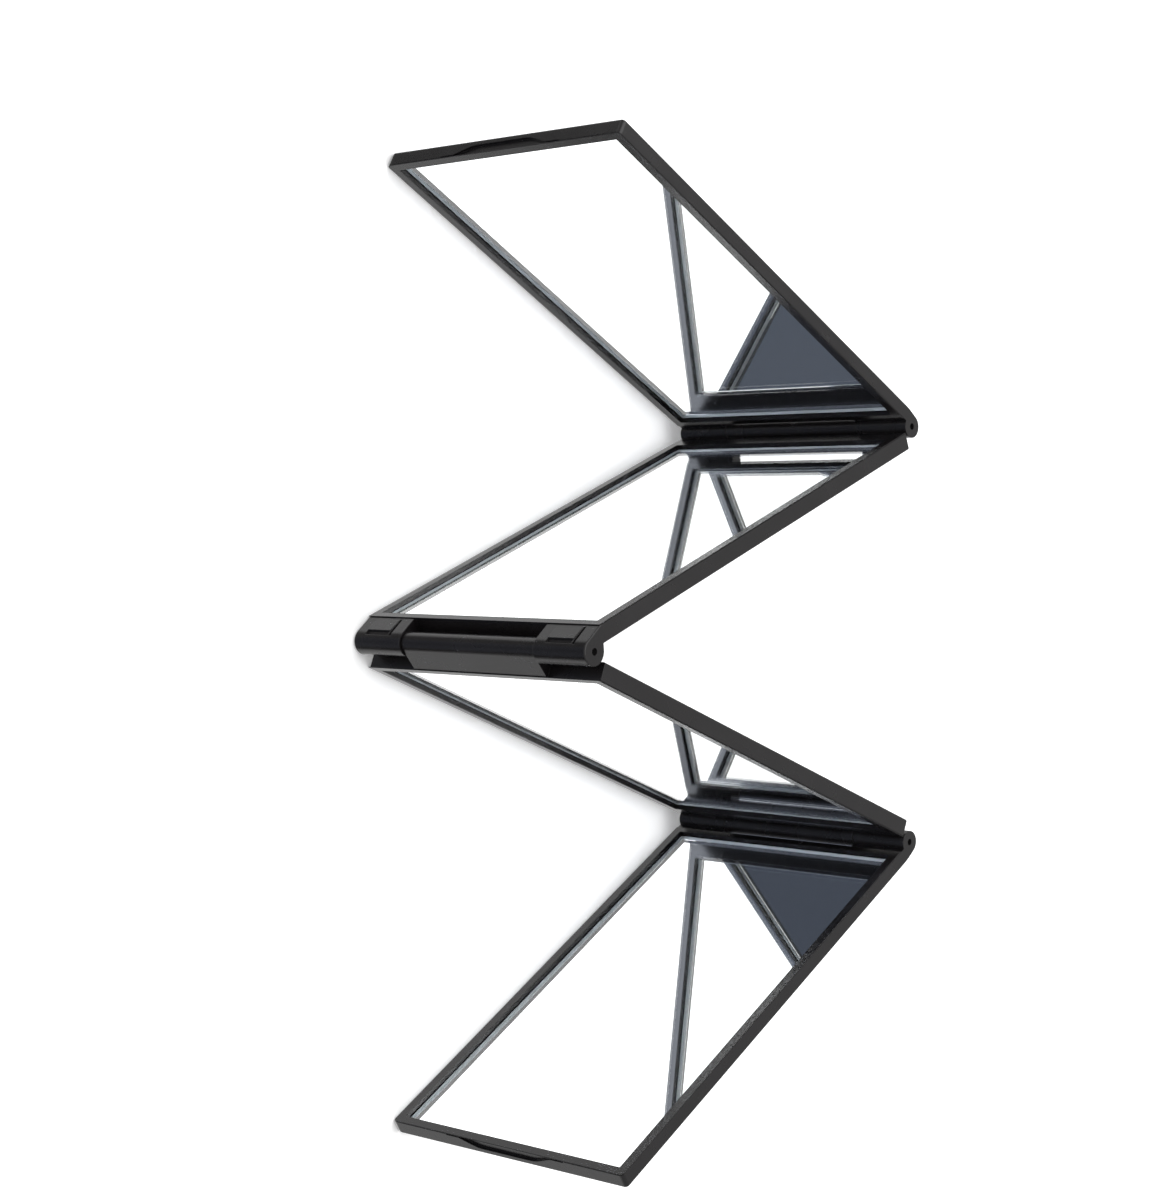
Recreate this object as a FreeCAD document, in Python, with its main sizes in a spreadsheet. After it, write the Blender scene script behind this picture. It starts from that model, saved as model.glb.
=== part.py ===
import FreeCAD, Part
import math
import os
import Sketcher

# Folding mirror: four framed mirror panels in a zigzag, joined edge to edge by three pinned knuckle hinges.
#
# Lengths are in millimetres and folds in degrees. The mirror stands like a folding screen on the long side
# edges of its panels, with its hinge axes along Z and its mirrors towards -Y. The origin is the bottom
# centre of its bounding box.
#
# Each panel has its own axes: x runs along the panel away from the axis of its side hinge, y is the
# direction that its mirror faces, and z runs along the hinge from the middle of the panel's width.

SIZES = {
    # Panels
    "panel_width": 88.0,
    "outer_reach": 151.0,
    "inner_reach": 154.7,
    "outer_thickness": 4.6,
    "inner_thickness": 5.4,
    "outer_face_rise": 0.25,
    "closed_gap": 0.3,
    "left_back_gap": 0.5,
    "right_back_gap": 1.1,
    "corner_radius": 1.2,
    "back_round": 0.6,
    "shell_wall": 1.2,
    "end_wall": 1.8,
    # Front frames
    "frame_edge": 0.35,
    "frame_side": 2.8,
    "frame_end": 2.6,
    "outer_hinge_bar": 2.2,
    "inner_hinge_bar": 5.7,
    "frame_fit": 0.15,
    "groove_height": 0.15,
    "groove_depth": 0.35,
    "frame_round": 0.12,
    # Mirrors and the pads behind them
    "mirror_thickness": 1.9,
    "mirror_recess": 1.45,
    "mirror_fit": 0.2,
    "mirror_arris": 0.2,
    "pad_thickness": 0.4,
    "pad_inset": 4.0,
    # Hinges
    "side_knuckle_radius": 3.4,
    "middle_lug_radius": 3.9,
    "middle_knuckle_radius": 3.25,
    "lug_width": 18.5,
    "lug_round": 0.4,
    "lug_taper_start": 6.0,
    "knuckle_gap": 0.3,
    "outer_end_gap": 1.8,
    "inner_end_gap": 0.45,
    "middle_end_gap": 0.3,
    "middle_setback": 0.7,
    "pin_radius": 1.0,
    "pin_clearance": 0.05,
    "pin_recess": 1.6,
    "pin_engagement": 10.0,
    "pin_chamfer": 0.2,
    # Finger scoop in the free end of an outer shell
    "scoop_half_width": 18.6,
    "scoop_crest_half_width": 11.0,
    "scoop_height": 2.6,
    "scoop_depth": 0.8,
    "scoop_round": 14.0,
    "lip_half_width": 22.5,
    "lip_height": 0.3,
    "lip_depth": 0.4,
    # Wedge, notch and slit on each middle lug of the left inner shell
    "wedge_inset": 4.0,
    "wedge_width": 9.2,
    "wedge_reach": 5.1,
    "wedge_drop": 1.5,
    "wedge_root": 2.6,
    "notch_length": 1.4,
    "notch_drop": 2.2,
    "notch_fall": 1.1,
    "slit_offset": 0.3,
    "slit_width": 0.8,
    "slit_start": 0.6,
    "slit_length": 6.0,
    "slit_depth": 3.2,
    # How far a cut runs past the solid
    "cut_overrun": 1.0,
}

# Angles between neighbouring panels at rest
FOLD_ANGLES = {
    "left_fold_angle": 50.0,
    "middle_fold_angle": 42.7,
    "right_fold_angle": 51.5,
}

# Levels and lengths that several pieces share, each written as a sum of named sizes
ZERO = ""
HALF_WIDTH = "panel_width/2"
OUTER_FACE = "outer_face_rise"
OUTER_BACK = "outer_face_rise - outer_thickness"
OUTER_START = "side_knuckle_radius + outer_end_gap"
OUTER_END = "outer_reach"
OUTER_WINDOW = f"{OUTER_START} + outer_hinge_bar"
INNER_FACE = "- outer_face_rise - closed_gap"
INNER_BACK = f"{INNER_FACE} - inner_thickness"
INNER_START = "side_knuckle_radius + inner_end_gap"
INNER_END = "inner_reach - middle_lug_radius - middle_end_gap"
INNER_WINDOW = f"{INNER_START} + inner_hinge_bar"
LEFT_AXIS = f"{INNER_BACK} - left_back_gap"
RIGHT_AXIS = f"{INNER_BACK} - right_back_gap"
LUG_EDGE = "panel_width/2 - lug_width"
KNUCKLE_EDGE = f"{LUG_EDGE} - knuckle_gap"
TRAY_DEPTH = "mirror_recess + mirror_thickness + pad_thickness - frame_edge"
PIN_LENGTH = "lug_width + knuckle_gap + pin_engagement - pin_recess"
LOOSE_BORE = "pin_radius + pin_clearance"
BEFORE_SIDE_HINGE = "- side_knuckle_radius - cut_overrun"
MIDDLE_SLOT = f"{INNER_END} - middle_setback"
PAST_MIDDLE_HINGE = "inner_reach + middle_lug_radius + cut_overrun"


def make_sheet():
    """The spreadsheet that holds every driving dimension, one named cell each."""
    cells = doc.addObject("Spreadsheet::Sheet", "Sizes")
    for row, (name, number) in enumerate([*SIZES.items(), *FOLD_ANGLES.items()], start=1):
        cells.set(f"A{row}", name)
        cells.set(f"B{row}", str(number))
        cells.setAlias(f"B{row}", name)
    doc.recompute()
    return cells


def terms(rule):
    """Yield the sign and the word of each term in a sum such as 'outer_reach - panel_width/2'."""
    sign = 1
    for word in rule.split():
        if word in "+-":
            sign = -1 if word == "-" else 1
        else:
            yield sign, word


def size(rule):
    """The number that a sum of named sizes comes to."""
    total = 0.0
    for sign, word in terms(rule):
        name, _, divisor = word.partition("/")
        total += sign * getattr(sheet, name) / float(divisor or 1)
    return total


def minus(rule):
    """The same sum with every sign turned round."""
    return " ".join(f"{'-' if sign > 0 else '+'} {word}" for sign, word in terms(rule))


def bind(item, prop, rule):
    """Tie one property of a document object to a sum of sheet cells."""
    summed = "".join(f" {'+' if sign > 0 else '-'} Sizes.{word}" for sign, word in terms(rule))
    item.setExpression(prop, f"0{summed}")


def origin_plane(body, role):
    """One of the three planes that a body is built on."""
    return next(plane for plane in body.Origin.OriginFeatures if plane.Role == role)


def add_sketch(body, name, role, lift=ZERO):
    """A sketch on one of the body's own planes, lifted along that plane's normal."""
    sketch = body.newObject("Sketcher::SketchObject", name)
    sketch.AttachmentSupport = [(origin_plane(body, role), "")]
    sketch.MapMode = "FlatFace"
    bind(sketch, "AttachmentOffset.Base.z", lift)
    return sketch


def constrain(sketch, kind, *where):
    """Add a constraint that has no dimension."""
    sketch.addConstraint(Sketcher.Constraint(kind, *where))


def fix(sketch, kind, rule, *where):
    """Add a dimension and tie it to a sum of sheet cells."""
    index = sketch.addConstraint(Sketcher.Constraint(kind, *where, size(rule)))
    sketch.renameConstraint(index, f"{kind}_{index}")
    bind(sketch, f"Constraints.{kind}_{index}", rule)


def fix_point(sketch, curve, end, across, up):
    """Dimension one point of a curve from the sketch's origin."""
    fix(sketch, "DistanceX", across, -1, 1, curve, end)
    fix(sketch, "DistanceY", up, -1, 1, curve, end)


def point_at(across, up):
    """The point of a sketch at two sums of named sizes."""
    return FreeCAD.Vector(size(across), size(up), 0)


def draw_chain(sketch, points):
    """Lines from point to point, each joined to the next."""
    lines = [sketch.addGeometry(Part.LineSegment(*ends)) for ends in zip(points, points[1:])]
    for line, following in zip(lines, lines[1:]):
        constrain(sketch, "Coincident", line, 2, following, 1)
    return lines


def draw_polygon(sketch, corners):
    """A closed outline with every corner dimensioned."""
    points = [point_at(*corner) for corner in corners]
    lines = draw_chain(sketch, [*points, points[0]])
    constrain(sketch, "Coincident", lines[-1], 2, lines[0], 1)
    for line, corner in zip(lines, corners):
        fix_point(sketch, line, 1, *corner)


def draw_rectangle(sketch, left, right, low, high):
    """An upright rectangle, dimensioned at two opposite corners."""
    corners = [(left, low), (right, low), (right, high), (left, high)]
    points = [point_at(*corner) for corner in corners]
    lines = draw_chain(sketch, [*points, points[0]])
    constrain(sketch, "Coincident", lines[-1], 2, lines[0], 1)
    for level, upright in zip(lines[::2], lines[1::2]):
        constrain(sketch, "Horizontal", level)
        constrain(sketch, "Vertical", upright)
    fix_point(sketch, lines[0], 1, left, low)
    fix_point(sketch, lines[2], 1, right, high)


def draw_circle(sketch, across, up, radius):
    """A dimensioned circle."""
    circle = sketch.addGeometry(Part.Circle(point_at(across, up), FreeCAD.Vector(0, 0, 1), size(radius)))
    fix(sketch, "Radius", radius, circle)
    fix_point(sketch, circle, 3, across, up)


def draw_knuckle(sketch, centre, radius, start, end):
    """The round of a knuckle, drawn anticlockwise between two angles, and the two points where it ends."""
    circle = Part.Circle(centre, FreeCAD.Vector(0, 0, 1), size(radius))
    arc = Part.ArcOfCircle(circle, start, end)
    knuckle = sketch.addGeometry(arc)
    fix(sketch, "Radius", radius, knuckle)
    return knuckle, arc.StartPoint, arc.EndPoint


def touch_angle(centre, radius, point, turn):
    """Angle on a circle where a line from a point touches it, on the side that turn picks."""
    away = point - centre
    return math.atan2(away.y, away.x) + turn * math.acos(size(radius) / away.Length)


def pad(body, name, sketch, length, side="One side"):
    """Extrude a sketch along its normal, or evenly to both sides of it."""
    feature = body.newObject("PartDesign::Pad", name)
    feature.Profile = sketch
    feature.SideType = side
    bind(feature, "Length", length)
    doc.recompute()


def pocket(body, name, sketch, depth=ZERO):
    """Cut a sketch right through the body, or to a depth along the sketch's normal."""
    before = body.Shape.Volume
    feature = body.newObject("PartDesign::Pocket", name)
    feature.Profile = sketch
    if depth:
        feature.Reversed = True
        bind(feature, "Length", depth)
    else:
        feature.SideType = "Symmetric"
        feature.Type = "ThroughAll"
    doc.recompute()
    if body.Shape.Volume >= before:
        raise RuntimeError(f"{name} cuts nothing from {body.Label}")


def lies_at(edge, **levels):
    """Whether both ends of an edge lie at the given levels of x, y or z."""
    slack = size("panel_width") * 1e-6
    ends = [vertex.Point for vertex in edge.Vertexes]
    return all(abs(getattr(end, axis) - level) < slack for end in ends for axis, level in levels.items())


def dress(body, kind, name, prop, amount, wanted):
    """Round or chamfer every edge of the body that passes a test."""
    base = body.Tip
    edges = enumerate(base.Shape.Edges, start=1)
    feature = body.newObject(kind, name)
    feature.Base = (base, [f"Edge{number}" for number, edge in edges if wanted(edge)])
    bind(feature, prop, amount)
    doc.recompute()


def round_free_corners(body):
    """Round the two upright corners at the free end of an outer panel."""
    end, half = size(OUTER_END), size(HALF_WIDTH)
    dress(body, "PartDesign::Fillet", "free_corners", "Radius", "corner_radius",
          lambda edge: lies_at(edge, x=end, z=half) or lies_at(edge, x=end, z=-half))


def round_back_edges(body, back, crease):
    """Round the outline of a shell's back, but not the creases across it."""
    level = size(back)
    folds = [size(rule) for rule in crease]
    dress(body, "PartDesign::Fillet", "back_edges", "Radius", "back_round",
          lambda edge: lies_at(edge, y=level) and not any(lies_at(edge, x=fold) for fold in folds))


def round_lug_ends(body):
    """Round the outline of the two outer end faces at the middle hinge."""
    half, slack = size(HALF_WIDTH), size("panel_width") * 1e-6
    first = size(INNER_END) - slack
    dress(body, "PartDesign::Fillet", "lug_ends", "Radius", "lug_round",
          lambda edge: (lies_at(edge, z=half) or lies_at(edge, z=-half))
          and all(vertex.X > first for vertex in edge.Vertexes))


def draw_outer_side(sketch):
    """Side view of an outer shell: a flat bar whose back tapers into the knuckle of its hinge."""
    axis = point_at(ZERO, ZERO)
    parting = f"{OUTER_FACE} - frame_edge"
    taper = point_at("lug_taper_start", OUTER_BACK)
    top = math.asin(size(parting) / size("side_knuckle_radius"))
    bottom = touch_angle(axis, "side_knuckle_radius", taper, -1) + 2 * math.pi
    knuckle, above, below = draw_knuckle(sketch, axis, "side_knuckle_radius", top, bottom)
    corners = [point_at(OUTER_END, OUTER_BACK), point_at(OUTER_END, parting)]
    slope, back, free_end, front = draw_chain(sketch, [below, taper, *corners, above])
    constrain(sketch, "Tangent", slope, 1, knuckle, 2)
    constrain(sketch, "Coincident", front, 2, knuckle, 1)
    constrain(sketch, "Coincident", knuckle, 3, -1, 1)
    constrain(sketch, "Horizontal", back)
    constrain(sketch, "Horizontal", front)
    constrain(sketch, "Vertical", free_end)
    fix_point(sketch, back, 1, "lug_taper_start", OUTER_BACK)
    fix_point(sketch, front, 1, OUTER_END, parting)


def draw_inner_side(sketch, middle_axis, middle_radius):
    """Side view of an inner shell: a flat bar with one knuckle level with its front and, at the other end,
    one behind its back that a ramp runs down to from the front."""
    side = point_at(ZERO, ZERO)
    middle = point_at("inner_reach", middle_axis)
    parting = f"{INNER_FACE} - frame_edge"
    heel = point_at(INNER_START, INNER_BACK)
    toe = point_at(INNER_END, INNER_BACK)
    brow = point_at(INNER_END, parting)
    top = math.asin(size(parting) / size("side_knuckle_radius"))
    bottom = touch_angle(side, "side_knuckle_radius", heel, -1) + 2 * math.pi
    side_knuckle, above, below = draw_knuckle(sketch, side, "side_knuckle_radius", top, bottom)
    under = touch_angle(middle, middle_radius, toe, 1) - 2 * math.pi
    over = touch_angle(middle, middle_radius, brow, -1)
    middle_knuckle, low, high = draw_knuckle(sketch, middle, middle_radius, under, over)
    web, back, throat = draw_chain(sketch, [below, heel, toe, low])
    ramp, front = draw_chain(sketch, [high, brow, above])
    constrain(sketch, "Tangent", web, 1, side_knuckle, 2)
    constrain(sketch, "Tangent", throat, 2, middle_knuckle, 1)
    constrain(sketch, "Tangent", ramp, 1, middle_knuckle, 2)
    constrain(sketch, "Coincident", front, 2, side_knuckle, 1)
    constrain(sketch, "Coincident", side_knuckle, 3, -1, 1)
    constrain(sketch, "Horizontal", back)
    constrain(sketch, "Horizontal", front)
    fix_point(sketch, middle_knuckle, 3, "inner_reach", middle_axis)
    fix_point(sketch, back, 1, INNER_START, INNER_BACK)
    fix_point(sketch, front, 1, INNER_END, parting)
    fix(sketch, "DistanceX", INNER_END, -1, 1, back, 2)


def cut_tray(body, start, end, face):
    """Sink the tray that takes the legs of the frame, the pad and the mirror."""
    sketch = add_sketch(body, "tray_outline", "XZ_Plane", minus(f"{face} - frame_edge"))
    edge = f"{HALF_WIDTH} - shell_wall"
    draw_rectangle(sketch, f"{start} + shell_wall", f"{end} - end_wall", minus(edge), edge)
    pocket(body, "tray", sketch, TRAY_DEPTH)


def cut_between_lugs(body, left, right):
    """Open the gap between two lugs for the neighbour's centre knuckle."""
    sketch = add_sketch(body, "lug_gap_outline", "XZ_Plane")
    draw_rectangle(sketch, left, right, minus(LUG_EDGE), LUG_EDGE)
    pocket(body, "lug_gap", sketch)


def cut_beside_knuckle(body, left, right):
    """Open the gaps at both ends of a centre knuckle for the neighbour's lugs."""
    sketch = add_sketch(body, "knuckle_ends_outline", "XZ_Plane")
    past_edge = f"{HALF_WIDTH} + cut_overrun"
    draw_rectangle(sketch, left, right, KNUCKLE_EDGE, past_edge)
    draw_rectangle(sketch, left, right, minus(past_edge), minus(KNUCKLE_EDGE))
    pocket(body, "knuckle_ends", sketch)


def cut_bore(body, across, up, radius):
    """Bore the knuckles of one hinge along their axis."""
    sketch = add_sketch(body, "pin_bore_outline", "XY_Plane")
    draw_circle(sketch, across, up, radius)
    pocket(body, "pin_bore", sketch)


def cut_finger_scoop(body):
    """Scoop out the free end under the frame, with a shallow lip to each side, for a fingernail."""
    parting = f"{OUTER_FACE} - frame_edge"
    crest, past_edge = f"{parting} - scoop_height", f"{parting} + cut_overrun"
    scoop = add_sketch(body, "scoop_outline", "YZ_Plane", f"{OUTER_END} - scoop_depth")
    draw_polygon(scoop, [
        (past_edge, "- scoop_half_width"),
        (parting, "- scoop_half_width"),
        (crest, "- scoop_crest_half_width"),
        (crest, "scoop_crest_half_width"),
        (parting, "scoop_half_width"),
        (past_edge, "scoop_half_width"),
    ])
    pocket(body, "finger_scoop", scoop, "scoop_depth + cut_overrun")
    level, half = size(crest), size("scoop_crest_half_width")
    dress(body, "PartDesign::Fillet", "scoop_shoulders", "Radius", "scoop_round",
          lambda edge: lies_at(edge, y=level, z=half) or lies_at(edge, y=level, z=-half))
    lip = add_sketch(body, "scoop_lip_outline", "YZ_Plane", f"{OUTER_END} - lip_depth")
    draw_rectangle(lip, f"{parting} - lip_height", past_edge, "- lip_half_width", "lip_half_width")
    pocket(body, "scoop_lip", lip, "lip_depth + cut_overrun")


def add_wedge(body, bottom):
    """Raised wedge down a lug's ramp, with a notch sunk in the knuckle below its tip."""
    parting = f"{INNER_FACE} - frame_edge"
    sketch = add_sketch(body, "wedge_outline", "XY_Plane", bottom)
    tip, root = f"{INNER_END} + wedge_reach", f"{parting} - wedge_root"
    crest = f"{parting} - wedge_drop"
    draw_polygon(sketch, [(INNER_END, parting), (INNER_END, root), (tip, root), (tip, crest)])
    pad(body, "wedge", sketch, "wedge_width")
    notch = add_sketch(body, "notch_outline", "XY_Plane", bottom)
    past_tip, floor = f"{tip} + notch_length", f"{parting} - notch_drop"
    draw_polygon(notch, [
        (tip, parting),
        (tip, floor),
        (past_tip, f"{floor} - notch_fall"),
        (past_tip, parting),
    ])
    pocket(body, "notch", notch, "wedge_width")


def cut_slit(body, top):
    """Narrow slit down a lug's ramp, beside its wedge."""
    sketch = add_sketch(body, "slit_outline", "XZ_Plane", minus(f"{INNER_FACE} - frame_edge"))
    first = f"{INNER_END} + slit_start"
    draw_rectangle(sketch, first, f"{first} + slit_length", f"{top} - slit_width", top)
    pocket(body, "slit", sketch, "slit_depth")


def make_outer_shell(name):
    """Back shell of an outer panel: a shallow tray with a lug at each end of its hinge edge."""
    body = doc.addObject("PartDesign::Body", name)
    side_view = add_sketch(body, "side_view", "XY_Plane")
    draw_outer_side(side_view)
    pad(body, "blank", side_view, "panel_width", side="Symmetric")
    round_free_corners(body)
    round_back_edges(body, OUTER_BACK, ["lug_taper_start"])
    cut_tray(body, OUTER_START, OUTER_END, OUTER_FACE)
    cut_between_lugs(body, BEFORE_SIDE_HINGE, OUTER_START)
    cut_bore(body, ZERO, ZERO, "pin_radius")
    cut_finger_scoop(body)
    return body


def make_inner_shell(name, middle_axis, has_lugs):
    """Back shell of an inner panel: a tray with a centre knuckle at its side hinge and, at the middle hinge,
    either two lugs or the centre knuckle that turns between them."""
    body = doc.addObject("PartDesign::Body", name)
    side_view = add_sketch(body, "side_view", "XY_Plane")
    draw_inner_side(side_view, middle_axis, "middle_lug_radius" if has_lugs else "middle_knuckle_radius")
    pad(body, "blank", side_view, "panel_width", side="Symmetric")
    round_back_edges(body, INNER_BACK, [INNER_START, INNER_END])
    cut_tray(body, INNER_START, INNER_END, INNER_FACE)
    cut_beside_knuckle(body, BEFORE_SIDE_HINGE, INNER_START)
    cut_bore(body, ZERO, ZERO, LOOSE_BORE)
    if has_lugs:
        cut_between_lugs(body, MIDDLE_SLOT, PAST_MIDDLE_HINGE)
        round_lug_ends(body)
        for lug_top in (HALF_WIDTH, minus(LUG_EDGE)):
            wedge_bottom = f"{lug_top} - wedge_inset - wedge_width"
            add_wedge(body, wedge_bottom)
            cut_slit(body, f"{wedge_bottom} - slit_offset")
        cut_bore(body, "inner_reach", middle_axis, "pin_radius")
    else:
        cut_beside_knuckle(body, MIDDLE_SLOT, PAST_MIDDLE_HINGE)
        cut_bore(body, "inner_reach", middle_axis, LOOSE_BORE)
    return body


def make_frame(name, start, window_start, end, face):
    """Front frame: a flange that overhangs the groove round the shell's walls, on a seat and on legs that
    stand round the mirror in the tray."""
    body = doc.addObject("PartDesign::Body", name)
    flange = add_sketch(body, "flange_outline", "XZ_Plane", minus(face))
    draw_rectangle(flange, start, end, minus(HALF_WIDTH), HALF_WIDTH)
    pad(body, "flange", flange, "frame_edge - groove_height")
    if end == OUTER_END:
        round_free_corners(body)
    front = size(face)
    dress(body, "PartDesign::Fillet", "front_edges", "Radius", "frame_round",
          lambda edge: lies_at(edge, y=front))
    seat = add_sketch(body, "seat_outline", "XZ_Plane", minus(f"{face} - frame_edge + groove_height"))
    edge = f"{HALF_WIDTH} - groove_depth"
    draw_rectangle(seat, f"{start} + groove_depth", f"{end} - groove_depth", minus(edge), edge)
    pad(body, "seat", seat, "groove_height")
    legs = add_sketch(body, "legs_outline", "XZ_Plane", minus(f"{face} - frame_edge"))
    edge = f"{HALF_WIDTH} - shell_wall - frame_fit"
    first, last = f"{start} + shell_wall + frame_fit", f"{end} - end_wall - frame_fit"
    draw_rectangle(legs, first, last, minus(edge), edge)
    pad(body, "legs", legs, TRAY_DEPTH)
    window = add_sketch(body, "window_outline", "XZ_Plane")
    side = f"{HALF_WIDTH} - frame_side"
    draw_rectangle(window, window_start, f"{end} - frame_end", minus(side), side)
    pocket(body, "window", window)
    return body


def make_sheet_piece(name, window_start, end, inset, top, thickness):
    """A flat rectangular piece lying in the window of a panel, set in from its edges."""
    body = doc.addObject("PartDesign::Body", name)
    outline = add_sketch(body, "outline", "XZ_Plane", minus(top))
    first, last = f"{window_start} + {inset}", f"{end} - frame_end {minus(inset)}"
    edge = f"{HALF_WIDTH} - frame_side {minus(inset)}"
    draw_rectangle(outline, first, last, minus(edge), edge)
    pad(body, "sheet", outline, thickness)
    return body


def make_mirror(name, window_start, end, face):
    """Mirror: a pane of glass with the edges of its front taken off."""
    top = f"{face} - mirror_recess"
    body = make_sheet_piece(name, window_start, end, "mirror_fit", top, "mirror_thickness")
    front = size(top)
    dress(body, "PartDesign::Chamfer", "arris", "Size", "mirror_arris", lambda edge: lies_at(edge, y=front))
    return body


def make_pad(name, window_start, end, face):
    """Double-sided foam pad that sticks the mirror to the floor of the tray."""
    top = f"{face} - mirror_recess - mirror_thickness"
    return make_sheet_piece(name, window_start, end, "mirror_fit + pad_inset", top, "pad_thickness")


def make_pin(name):
    """Short steel hinge pin with chamfered ends, standing on its lower end."""
    body = doc.addObject("PartDesign::Body", name)
    sketch = add_sketch(body, "half_section", "XZ_Plane")
    face = "pin_radius - pin_chamfer"
    draw_polygon(sketch, [
        (ZERO, ZERO),
        (face, ZERO),
        ("pin_radius", "pin_chamfer"),
        ("pin_radius", f"{PIN_LENGTH} - pin_chamfer"),
        (face, PIN_LENGTH),
        (ZERO, PIN_LENGTH),
    ])
    turned = body.newObject("PartDesign::Revolution", "turned")
    turned.Profile = sketch
    turned.ReferenceAxis = (sketch, ["V_Axis"])
    doc.recompute()
    return body


def make_outer_panel(panel):
    """The four pieces of an outer panel."""
    return [
        make_outer_shell(f"{panel}_shell"),
        make_pad(f"{panel}_pad", OUTER_WINDOW, OUTER_END, OUTER_FACE),
        make_mirror(f"{panel}_mirror", OUTER_WINDOW, OUTER_END, OUTER_FACE),
        make_frame(f"{panel}_frame", OUTER_START, OUTER_WINDOW, OUTER_END, OUTER_FACE),
    ]


def make_inner_panel(panel, middle_axis, has_lugs):
    """The four pieces of an inner panel."""
    return [
        make_inner_shell(f"{panel}_shell", middle_axis, has_lugs),
        make_pad(f"{panel}_pad", INNER_WINDOW, INNER_END, INNER_FACE),
        make_mirror(f"{panel}_mirror", INNER_WINDOW, INNER_END, INNER_FACE),
        make_frame(f"{panel}_frame", INNER_START, INNER_WINDOW, INNER_END, INNER_FACE),
    ]


def panel_turn(heading, faces_left):
    """Rotation of a panel that runs along a heading in plan, with its mirror to the left or right of it."""
    turn = FreeCAD.Rotation(FreeCAD.Vector(0, 0, 1), heading)
    return turn if faces_left else turn * FreeCAD.Rotation(FreeCAD.Vector(1, 0, 0), 180)


def place(pieces, turn, axis):
    """Set the pieces of a panel on the axis of its side hinge, at the middle of its height."""
    for piece in pieces:
        piece.Placement = FreeCAD.Placement(axis + FreeCAD.Vector(0, 0, size(HALF_WIDTH)), turn)
    return pieces


def make_pins(hinge, axis):
    """The two pins of a hinge, each pressed through a lug into the centre knuckle."""
    heights = {"bottom": "pin_recess", "top": f"panel_width - pin_recess {minus(PIN_LENGTH)}"}
    pins = []
    for end, height in heights.items():
        pin = make_pin(f"{hinge}_{end}_pin")
        pin.Placement.Base = axis + FreeCAD.Vector(0, 0, size(height))
        pins.append(pin)
    return pins


def centre_on_floor(pieces):
    """Bring the bottom centre of the whole mirror to the origin, and return how far it moved."""
    doc.recompute()
    box = FreeCAD.BoundBox()
    for piece in pieces:
        box.add(piece.Shape.optimalBoundingBox())
    shift = FreeCAD.Vector(-box.Center.x, -box.Center.y, -box.ZMin)
    for piece in pieces:
        piece.Placement.Base = piece.Placement.Base + shift
    doc.recompute()
    return shift


def check(pieces):
    """Stop if any object of the document failed or any piece is not one sound solid."""
    broken = [item.Label for item in doc.Objects if {"Invalid", "Error"} & set(item.State)]
    for piece in pieces:
        if piece.Shape.isNull() or not piece.Shape.isValid() or len(piece.Shape.Solids) != 1:
            broken.append(piece.Label)
    if broken:
        raise RuntimeError(f"not sound: {broken}")


doc = FreeCAD.newDocument("FoldingMirror")
sheet = make_sheet()

# Headings of the four panels in plan, each away from its side hinge
left_inner_heading = size("middle_fold_angle/2") - 90
right_inner_heading = -90 - size("middle_fold_angle/2")
left_outer_turn = panel_turn(left_inner_heading - size("left_fold_angle"), faces_left=True)
left_inner_turn = panel_turn(left_inner_heading, faces_left=False)
right_inner_turn = panel_turn(right_inner_heading, faces_left=True)
right_outer_turn = panel_turn(right_inner_heading + size("right_fold_angle"), faces_left=False)

# Hinge axes in plan, from the left hinge along the inner panels to the right hinge
left_axis = FreeCAD.Vector(0, 0, 0)
middle_axis = left_axis + left_inner_turn.multVec(point_at("inner_reach", LEFT_AXIS))
right_axis = middle_axis - right_inner_turn.multVec(point_at("inner_reach", RIGHT_AXIS))

pieces = [
    *place(make_outer_panel("left_outer"), left_outer_turn, left_axis),
    *place(make_inner_panel("left_inner", LEFT_AXIS, has_lugs=True), left_inner_turn, left_axis),
    *place(make_inner_panel("right_inner", RIGHT_AXIS, has_lugs=False), right_inner_turn, right_axis),
    *place(make_outer_panel("right_outer"), right_outer_turn, right_axis),
    *make_pins("left_hinge", left_axis),
    *make_pins("middle_hinge", middle_axis),
    *make_pins("right_hinge", right_axis),
]
shift = centre_on_floor(pieces)
check(pieces)

os.makedirs("parts", exist_ok=True)
for piece in pieces:
    piece.Shape.exportStep(f"parts/{piece.Label}.step")
for name, axis in {"left": left_axis, "middle": middle_axis, "right": right_axis}.items():
    print(name, "hinge axis at", *(round(value, 4) for value in axis + shift))
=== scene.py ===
import bpy
import math
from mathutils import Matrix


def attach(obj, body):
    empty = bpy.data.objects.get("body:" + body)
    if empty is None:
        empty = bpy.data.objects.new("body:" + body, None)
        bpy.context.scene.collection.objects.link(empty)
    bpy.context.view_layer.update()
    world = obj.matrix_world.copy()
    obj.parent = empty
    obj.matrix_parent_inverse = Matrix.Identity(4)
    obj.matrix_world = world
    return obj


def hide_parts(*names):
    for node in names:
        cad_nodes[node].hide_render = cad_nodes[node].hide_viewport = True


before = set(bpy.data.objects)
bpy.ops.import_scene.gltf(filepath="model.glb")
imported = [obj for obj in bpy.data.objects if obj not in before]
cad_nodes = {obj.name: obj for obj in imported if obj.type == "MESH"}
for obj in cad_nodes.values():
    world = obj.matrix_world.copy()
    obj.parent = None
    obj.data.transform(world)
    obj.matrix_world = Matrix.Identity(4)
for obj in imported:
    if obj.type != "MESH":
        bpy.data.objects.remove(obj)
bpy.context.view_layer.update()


# Back shells: the four trays that carry the mirrors, with the lugs and centre knuckles of the hinges.
# Black ABS, each moulded in one piece in a spark-eroded tool, which leaves an even, fine, dull grain.
MM = 0.001


def srgb(code):
    """Linear colour for a hex code as it is seen on a screen."""
    levels = [int(code[start:start + 2], 16) / 255 for start in (1, 3, 5)]
    linear = [level / 12.92 if level <= 0.04045 else ((level + 0.055) / 1.055) ** 2.4 for level in levels]
    return [*linear, 1]


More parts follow.
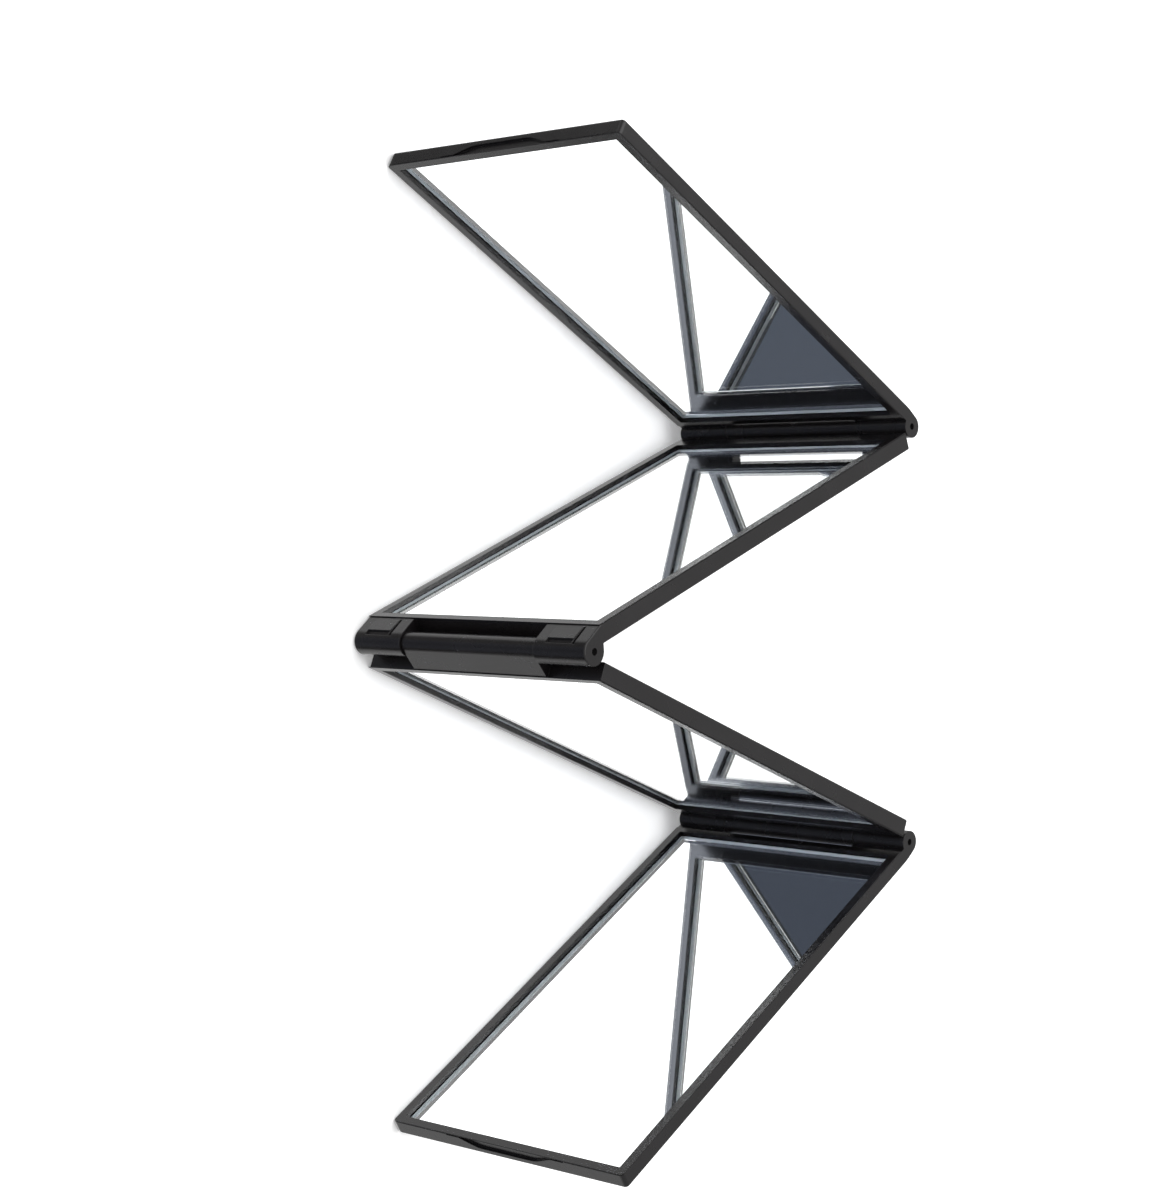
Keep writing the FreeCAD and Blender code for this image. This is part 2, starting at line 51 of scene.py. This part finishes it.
def add_node(tree, kind, inputs, **settings):
    """Add a node with its settings; an input is a value, or the output socket that feeds it."""
    made = tree.nodes.new(kind)
    for name, value in settings.items():
        setattr(made, name, value)
    for name, value in inputs.items():
        if isinstance(value, bpy.types.NodeSocket):
            tree.links.new(value, made.inputs[name])
        else:
            made.inputs[name].default_value = value
    return made


def start_material(name):
    """A new material, with its node tree and its shader."""
    material = bpy.data.materials.new(name)
    material.use_nodes = True
    return material, material.node_tree, material.node_tree.nodes["Principled BSDF"]


def set_shader(shader, **values):
    """Set what is the same all over a material; Specular_IOR_Level stands for Specular IOR Level."""
    for name, value in values.items():
        shader.inputs[name.replace("_", " ")].default_value = value


def place_on_piece(tree):
    """The position on the piece, which every pattern reads."""
    return add_node(tree, "ShaderNodeTexCoord", {}).outputs["Object"]


def cloud(tree, place, size, detail=2.0):
    """A soft random pattern with patches of a given size."""
    noise = add_node(tree, "ShaderNodeTexNoise", {"Vector": place, "Scale": 1 / size, "Detail": detail})
    return noise.outputs["Fac"]


def two_tone(tree, shader, pattern, dark, light):
    """Colour a material between two tones by a pattern."""
    tones = {"Factor": pattern, "A": srgb(dark), "B": srgb(light)}
    tone = add_node(tree, "ShaderNodeMix", tones, data_type="RGBA")
    tree.links.new(tone.outputs["Result"], shader.inputs["Base Color"])


def spread(tree, value, low, high, **limits):
    """Bring a value from 0 to 1, or between limits given as From_Min and From_Max, to a range."""
    inputs = {"Value": value, "To Min": low, "To Max": high}
    inputs.update({name.replace("_", " "): limit for name, limit in limits.items()})
    return add_node(tree, "ShaderNodeMapRange", inputs).outputs["Result"]


def dress(suffix, material):
    """Give a material to every CAD node whose name ends with a suffix."""
    for name, piece in cad_nodes.items():
        if name.endswith(suffix):
            piece.data.materials.clear()
            piece.data.materials.append(material)


def moulded_abs(name, dark, light, roughness, grain_size, grain_depth, edge_radius):
    """Moulded black ABS: a cloudy tone from the flow of the melt, the grain of the tool, and edges that are
    softened a little, as moulded edges are."""
    flow_size, flow_detail = 14 * MM, 4.0
    grain_share = 0.55
    darkest, lightest = 0.35, 0.65
    gloss_change = 0.06
    material, tree, shader = start_material(name)
    place = place_on_piece(tree)
    flow = cloud(tree, place, flow_size, flow_detail)
    grain = cloud(tree, place, grain_size)
    patch = add_node(tree, "ShaderNodeMix", {"Factor": grain_share, "A": flow, "B": grain}).outputs["Result"]
    two_tone(tree, shader, spread(tree, patch, 0.0, 1.0, From_Min=darkest, From_Max=lightest), dark, light)
    gloss = spread(tree, flow, roughness - gloss_change, roughness + gloss_change)
    tree.links.new(gloss, shader.inputs["Roughness"])
    edges = add_node(tree, "ShaderNodeBevel", {"Radius": edge_radius}, samples=4)
    relief = add_node(tree, "ShaderNodeBump", {"Height": grain, "Strength": 0.6, "Distance": grain_depth,
                                               "Normal": edges.outputs["Normal"]})
    tree.links.new(relief.outputs["Normal"], shader.inputs["Normal"])
    set_shader(shader, IOR=1.5)
    return material


# A satin black that scatters its highlights. The tool's real grain is about 0.1 mm; it is drawn coarser,
# because at that size it would be lost between pixels.
shell_abs = moulded_abs("shell_abs", dark="#181617", light="#201e1f", roughness=0.27, grain_size=0.35 * MM,
                        grain_depth=0.012 * MM, edge_radius=0.2 * MM)
dress("_shell", shell_abs)


# Mounting pads: the sheets that hold the mirrors in their trays. White closed-cell foam with glue on both
# sides, cut from a roll, which shows small round cells on a dull surface.
FOAM_CELL = 0.5 * MM
FOAM_DENT = 0.1 * MM
pad_foam, foam_tree, foam_shader = start_material("pad_foam")
foam_place = place_on_piece(foam_tree)
bubbles = add_node(foam_tree, "ShaderNodeTexVoronoi", {"Vector": foam_place, "Scale": 1 / FOAM_CELL})
cells = bubbles.outputs["Distance"]
two_tone(foam_tree, foam_shader, cells, "#d9d6cc", "#ece9e0")
dents = add_node(foam_tree, "ShaderNodeBump", {"Height": cells, "Strength": 0.8, "Distance": FOAM_DENT})
foam_tree.links.new(dents.outputs["Normal"], foam_shader.inputs["Normal"])
set_shader(foam_shader, Roughness=0.9)
dress("_pad", pad_foam)


# Mirrors: float glass cut to size, its edges ground dull and its corners ground off, and its back silvered.
# The image forms on the silver, so the ground edges and the thickness of the pane show round it.

# Clear, smooth glass, which shows its own thickness and a faint second image from its front.
pane_glass, _, glass_shader = start_material("pane_glass")
set_shader(glass_shader, Base_Color=srgb("#ffffff"), Roughness=0.0, IOR=1.52, Transmission_Weight=1.0)

# Silver deposited on the glass: a sharp, nearly white reflection, with slow changes from the waves of the
# float bath.
WAVE_SIZE = 60 * MM
back_silver, silver_tree, silver_shader = start_material("back_silver")
waves = cloud(silver_tree, place_on_piece(silver_tree), WAVE_SIZE)
two_tone(silver_tree, silver_shader, waves, "#f8fafa", "#fcfdfd")
set_shader(silver_shader, Metallic=1.0, Roughness=0.0)

# Glass ground with a fine stone: a dull white, as frosted glass is, which shows grey in the shade of the
# frame. The real grit is under 0.1 mm, and is drawn coarser so that it shows.
GRIT_SIZE = 0.15 * MM
ground_edge, ground_tree, ground_shader = start_material("ground_edge")
grit = cloud(ground_tree, place_on_piece(ground_tree), GRIT_SIZE)
two_tone(ground_tree, ground_shader, grit, "#dfe5e5", "#f0f5f5")
set_shader(ground_shader, Roughness=0.7)

PANE_MATERIALS = (pane_glass, back_silver, ground_edge)
SILVER, GROUND = 1, 2
SILVER_GAP = 0.04 * MM
ARRIS = 0.28 * MM
MERGE_WITHIN = 0.001 * MM
FLAT_WITHIN = math.radians(1)
SIDE_LIMIT = 0.1
for panel in ("left_outer", "left_inner", "right_inner", "right_outer"):
    bpy.ops.object.select_all(action="DESELECT")
    pane = bpy.data.objects.new(f"{panel}_pane", cad_nodes[f"{panel}_mirror"].data.copy())
    bpy.context.scene.collection.objects.link(pane)
    bpy.context.view_layer.objects.active = pane
    pane.select_set(True)
    pane.data.materials.clear()
    for material in PANE_MATERIALS:
        pane.data.materials.append(material)
    bpy.ops.object.mode_set(mode="EDIT")
    bpy.ops.mesh.select_mode(type="FACE")
    bpy.ops.mesh.select_all(action="SELECT")
    bpy.ops.mesh.remove_doubles(threshold=MERGE_WITHIN)
    bpy.ops.mesh.dissolve_limited(angle_limit=FLAT_WITHIN)
    bpy.ops.mesh.select_all(action="DESELECT")
    bpy.ops.object.mode_set(mode="OBJECT")
    # The back is the largest face, because the corners of the front are already ground off.
    back = max(pane.data.polygons, key=lambda face: face.area)
    back.select = True
    back.material_index = SILVER
    outward = back.normal.copy()
    bpy.ops.object.mode_set(mode="EDIT")
    bpy.ops.transform.translate(value=outward * -SILVER_GAP)
    bpy.ops.mesh.region_to_loop()
    bpy.ops.mesh.bevel(offset=ARRIS, segments=1, material=GROUND)
    bpy.ops.object.mode_set(mode="OBJECT")
    bpy.ops.object.shade_flat()
    for face in pane.data.polygons:
        if abs(face.normal.dot(outward)) < SIDE_LIMIT:
            face.material_index = GROUND
    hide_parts(f"{panel}_mirror")
    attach(pane, f"{panel}_panel")


# Front frames: the rims that close the trays round the glass. Black ABS like the shells, moulded in a finer
# tool, so their flats are smoother and a little glossier. The grain is again drawn coarser than it is.
frame_abs = moulded_abs("frame_abs", dark="#181617", light="#1f1d1e", roughness=0.25, grain_size=0.25 * MM,
                        grain_depth=0.008 * MM, edge_radius=0.12 * MM)
dress("_frame", frame_abs)


# Hinge pins: short steel rods pressed through the lugs. Drawn wire, cut and chamfered, with scratches along
# the rod from the die, which streak its shine. They are drawn wider than they are, so that they show.
SCRATCH_WIDTH = 0.2 * MM
SCRATCH_STRETCH = (1, 1, 0.02)
SCRATCH_DETAIL = 3.0
STEEL_ROUGHNESS = (0.25, 0.45)
pin_steel, steel_tree, steel_shader = start_material("pin_steel")
along_rod = {"Vector": place_on_piece(steel_tree), "Scale": SCRATCH_STRETCH}
stretched = add_node(steel_tree, "ShaderNodeMapping", along_rod).outputs["Vector"]
scratches = cloud(steel_tree, stretched, SCRATCH_WIDTH, SCRATCH_DETAIL)
two_tone(steel_tree, steel_shader, scratches, "#8b8b8d", "#a9a9ab")
steel_tree.links.new(spread(steel_tree, scratches, *STEEL_ROUGHNESS), steel_shader.inputs["Roughness"])
set_shader(steel_shader, Metallic=1.0)
dress("_pin", pin_steel)


# Floor: a sheet of white paper that the mirror stands on. Seen by the camera a glow lifts it to white; close
# to the panels an occlusion test cuts that glow, which paints a soft contact shadow over their real one.
PAPER_SIZE = 8
PAPER_DROP = 0.2 * MM
PAINTED_SHADOW_WIDTH = 10 * MM
PAINTED_SHADOW_GLOW, OPEN_GLOW = 0.2, 0.75
bpy.ops.object.select_all(action="DESELECT")
bpy.ops.mesh.primitive_plane_add(size=PAPER_SIZE)
floor = bpy.context.object
floor.name = "floor"
floor.location.z = -PAPER_DROP
floor.visible_glossy = False
floor.visible_transmission = False
floor_paper, paper_tree, paper_shader = start_material("floor_paper")
set_shader(paper_shader, Base_Color=srgb("#e8e8e8"), Roughness=0.9, Specular_IOR_Level=0.0,
           Emission_Color=srgb("#ffffff"))
to_camera = add_node(paper_tree, "ShaderNodeLightPath", {}).outputs["Is Camera Ray"]
# Painted shadow: the glow is lowered where a panel is nearer than the shadow width.
openness = add_node(paper_tree, "ShaderNodeAmbientOcclusion", {"Distance": PAINTED_SHADOW_WIDTH}, samples=8)
lift_with_painted_shadow = spread(paper_tree, openness.outputs["AO"], PAINTED_SHADOW_GLOW, OPEN_GLOW, From_Min=0.45, From_Max=0.9)
glow = add_node(paper_tree, "ShaderNodeMath", {0: to_camera, 1: lift_with_painted_shadow}, operation="MULTIPLY")
paper_tree.links.new(glow.outputs["Value"], paper_shader.inputs["Emission Strength"])
floor.data.materials.append(floor_paper)


# White surround: what the mirrors and the gloss of the plastic see below the horizon. It is brighter where it
# is seen in the glass, after several reflections, and in the gloss of plastic that the mirrors show.
def reflector(name, size, place, turn, tone, mirrored_tone, direct, mirrored, in_glass):
    """A glowing board that only gloss and glass see. It has one strength for gloss that is seen directly, one
    for gloss that is seen in a mirror, with a tone of its own, and one for the mirrors themselves."""
    bpy.ops.object.select_all(action="DESELECT")
    bpy.ops.mesh.primitive_plane_add(size=1)
    board = bpy.context.object
    board.name = name
    board.scale = (*size, 1)
    board.rotation_euler = [math.radians(angle) for angle in turn]
    board.location = place
    board.visible_camera = False
    board.visible_diffuse = False
    board.visible_shadow = False
    material, tree, shader = start_material(name)
    ray = add_node(tree, "ShaderNodeLightPath", {})
    past_glass = add_node(tree, "ShaderNodeMath", {0: ray.outputs["Transmission Depth"], 1: 0.5},
                          operation="GREATER_THAN").outputs["Value"]
    gloss = add_node(tree, "ShaderNodeMix", {"Factor": past_glass, "A": direct, "B": mirrored})
    sharp = ray.outputs["Is Singular Ray"]
    strength = add_node(tree, "ShaderNodeMix", {"Factor": sharp, "A": gloss.outputs["Result"], "B": in_glass})
    blurred = add_node(tree, "ShaderNodeMath", {0: past_glass, 1: sharp}, operation="SUBTRACT",
                       use_clamp=True).outputs["Value"]
    tones = {"Factor": blurred, "A": srgb(tone), "B": srgb(mirrored_tone)}
    colour = add_node(tree, "ShaderNodeMix", tones, data_type="RGBA")
    tree.links.new(strength.outputs["Result"], shader.inputs["Emission Strength"])
    tree.links.new(colour.outputs["Result"], shader.inputs["Emission Color"])
    set_shader(shader, Base_Color=srgb("#000000"), Specular_IOR_Level=0.0)
    board.data.materials.append(material)


WHITE = "#ffffff"
PALE_SLATE = "#e3e9f6"
FLAT, UPRIGHT = (0, 0, 0), (90, 0, 0)
WHITE_MIRRORED, WHITE_IN_GLASS = 6.5, 1.8
reflector("white_surround", (40, 40), (0, 0, -1.6), FLAT, WHITE, PALE_SLATE,
          1.0, WHITE_MIRRORED, WHITE_IN_GLASS)


# Slate boards: glowing upright boards in front of the mirror and below it, which only gloss and glass see,
# and which paint dull blue-grey reflections into the knuckles and the glass next to the side hinges. With a
# darker narrow one, a nearly black one that paints the reflection of a post under the camera, and a small
# slip behind the right hinge that paints the gap which the glass looks through dark, and shows bright in the
# plastic's own gloss.
SLATE_BOARDS = (
    # Name, width and height, place, tone, then the three strengths
    ("slate_card", (0.9, 0.9), (0.05, -0.6, -0.56), "#5d626e", 1.6, 12.0, 1.0),
    ("dark_slate_card", (0.075, 0.9), (0.022, -0.595, -0.56), "#4f5460", 1.6, 14.0, 1.0),
    ("camera_stand_reflection", (0.05, 0.24), (-0.038, -0.59, -0.39), "#26282d", 1.0, 30.0, 1.0),
    ("slate_slip", (0.053, 0.075), (0.0985, 0.1, 0.0175), "#383b43", 20.0, 1.0, 1.0),
)
for name, size, place, tone, direct, mirrored, in_glass in SLATE_BOARDS:
    reflector(name, size, place, UPRIGHT, tone, tone, direct, mirrored, in_glass)


# Dark reflection boards: glowing boards that only gloss and glass see. They paint dark reflections into the
# plastic's own gloss, nearly black to the right of the cards, behind the mirror and at the far right, and
# grey at the left; to the mirrors they are as white as the surround.
DARK_REFLECTION_BOARDS = (
    # Name, width and height, place, turn, then the strength for gloss that is seen directly
    ("right_dark_reflection", (0.484, 1.0), (0.597, -0.548, -0.6), (90, 0, 69), 0.016),
    ("far_dark_reflection", (0.35, 0.7), (0.9, 0.33, -0.6), (90, 0, 109), 0.05),
    ("back_dark_reflection", (0.7, 1.2), (-0.18, 1.0, -0.75), UPRIGHT, 0.05),
    ("left_grey_reflection", (0.7, 0.7), (-0.82, -0.57, -0.76), (47.4, 0, 125), 0.15),
)
for name, size, place, turn, direct in DARK_REFLECTION_BOARDS:
    reflector(name, size, place, turn, WHITE, PALE_SLATE, direct, WHITE_MIRRORED, WHITE_IN_GLASS)


# Light: a large round softbox overhead and an even glow from all round. The glow is white where the camera or
# the glass sees it, and lights the plastic at about half of that.
GLOW_ON_PIECES, GLOW_SEEN = 0.55, 1.0
studio = bpy.data.worlds.new("studio")
bpy.context.scene.world = studio
studio.use_nodes = True
sky = studio.node_tree.nodes["Background"]
sky.inputs["Color"].default_value = srgb(WHITE)
ray = add_node(studio.node_tree, "ShaderNodeLightPath", {}).outputs
seen = add_node(studio.node_tree, "ShaderNodeMath", {0: ray["Is Camera Ray"], 1: ray["Is Singular Ray"]})
sky_strength = spread(studio.node_tree, seen.outputs["Value"], GLOW_ON_PIECES, GLOW_SEEN)
studio.node_tree.links.new(sky_strength, sky.inputs["Strength"])
softbox = bpy.data.lights.new("softbox", "AREA")
softbox.shape = "DISK"
softbox.size = 1.6
softbox.energy = 10
overhead = bpy.data.objects.new("softbox", softbox)
overhead.location = (-0.45, 0.15, 1.25)
overhead.rotation_euler = overhead.location.to_track_quat("Z", "Y").to_euler()
bpy.context.scene.collection.objects.link(overhead)


# Camera: above the front of the mirror, turned a quarter round so that the floor is at the picture's left.
lens = bpy.data.cameras.new("camera")
lens.sensor_fit = "VERTICAL"
lens.sensor_height = 24.0
lens.lens = 48.825
lens.clip_start = 0.01
camera = bpy.data.objects.new("camera", lens)
camera.location = (-0.034976, -0.537170, 0.511405)
camera.rotation_euler = [math.radians(angle) for angle in (-1.8088, -47.3716, 90.0387)]
bpy.context.scene.collection.objects.link(camera)
bpy.context.scene.camera = camera
bpy.context.scene.view_settings.view_transform = "Standard"
